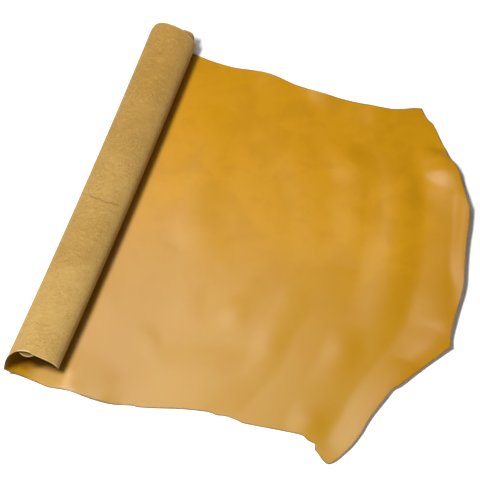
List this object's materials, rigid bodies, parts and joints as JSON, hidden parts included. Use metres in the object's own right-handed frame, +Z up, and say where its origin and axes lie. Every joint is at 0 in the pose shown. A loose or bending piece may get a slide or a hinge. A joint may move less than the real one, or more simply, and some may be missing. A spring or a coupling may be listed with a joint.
{
  "type": "leather hide",
  "caption": "Side of vegetable-tanned leather lying grain side up, its neck end wound into a loose oval roll with the suede side out.",
  "frame": {"origin": "on the floor under the middle of the part's bounding box", "axes": "+X from the roll across the flat sheet to the rump edge, +Y along the roll from the belly edge to the back edge, +Z up"},
  "size_m": [1.0446, 1.1544, 0.088],
  "materials": {
    "leather": "smooth semi-gloss grain in amber, with a matt tan suede back"
  },
  "bodies": {
    "root": {"hide": "leather"}
  },
  "joints": []
}
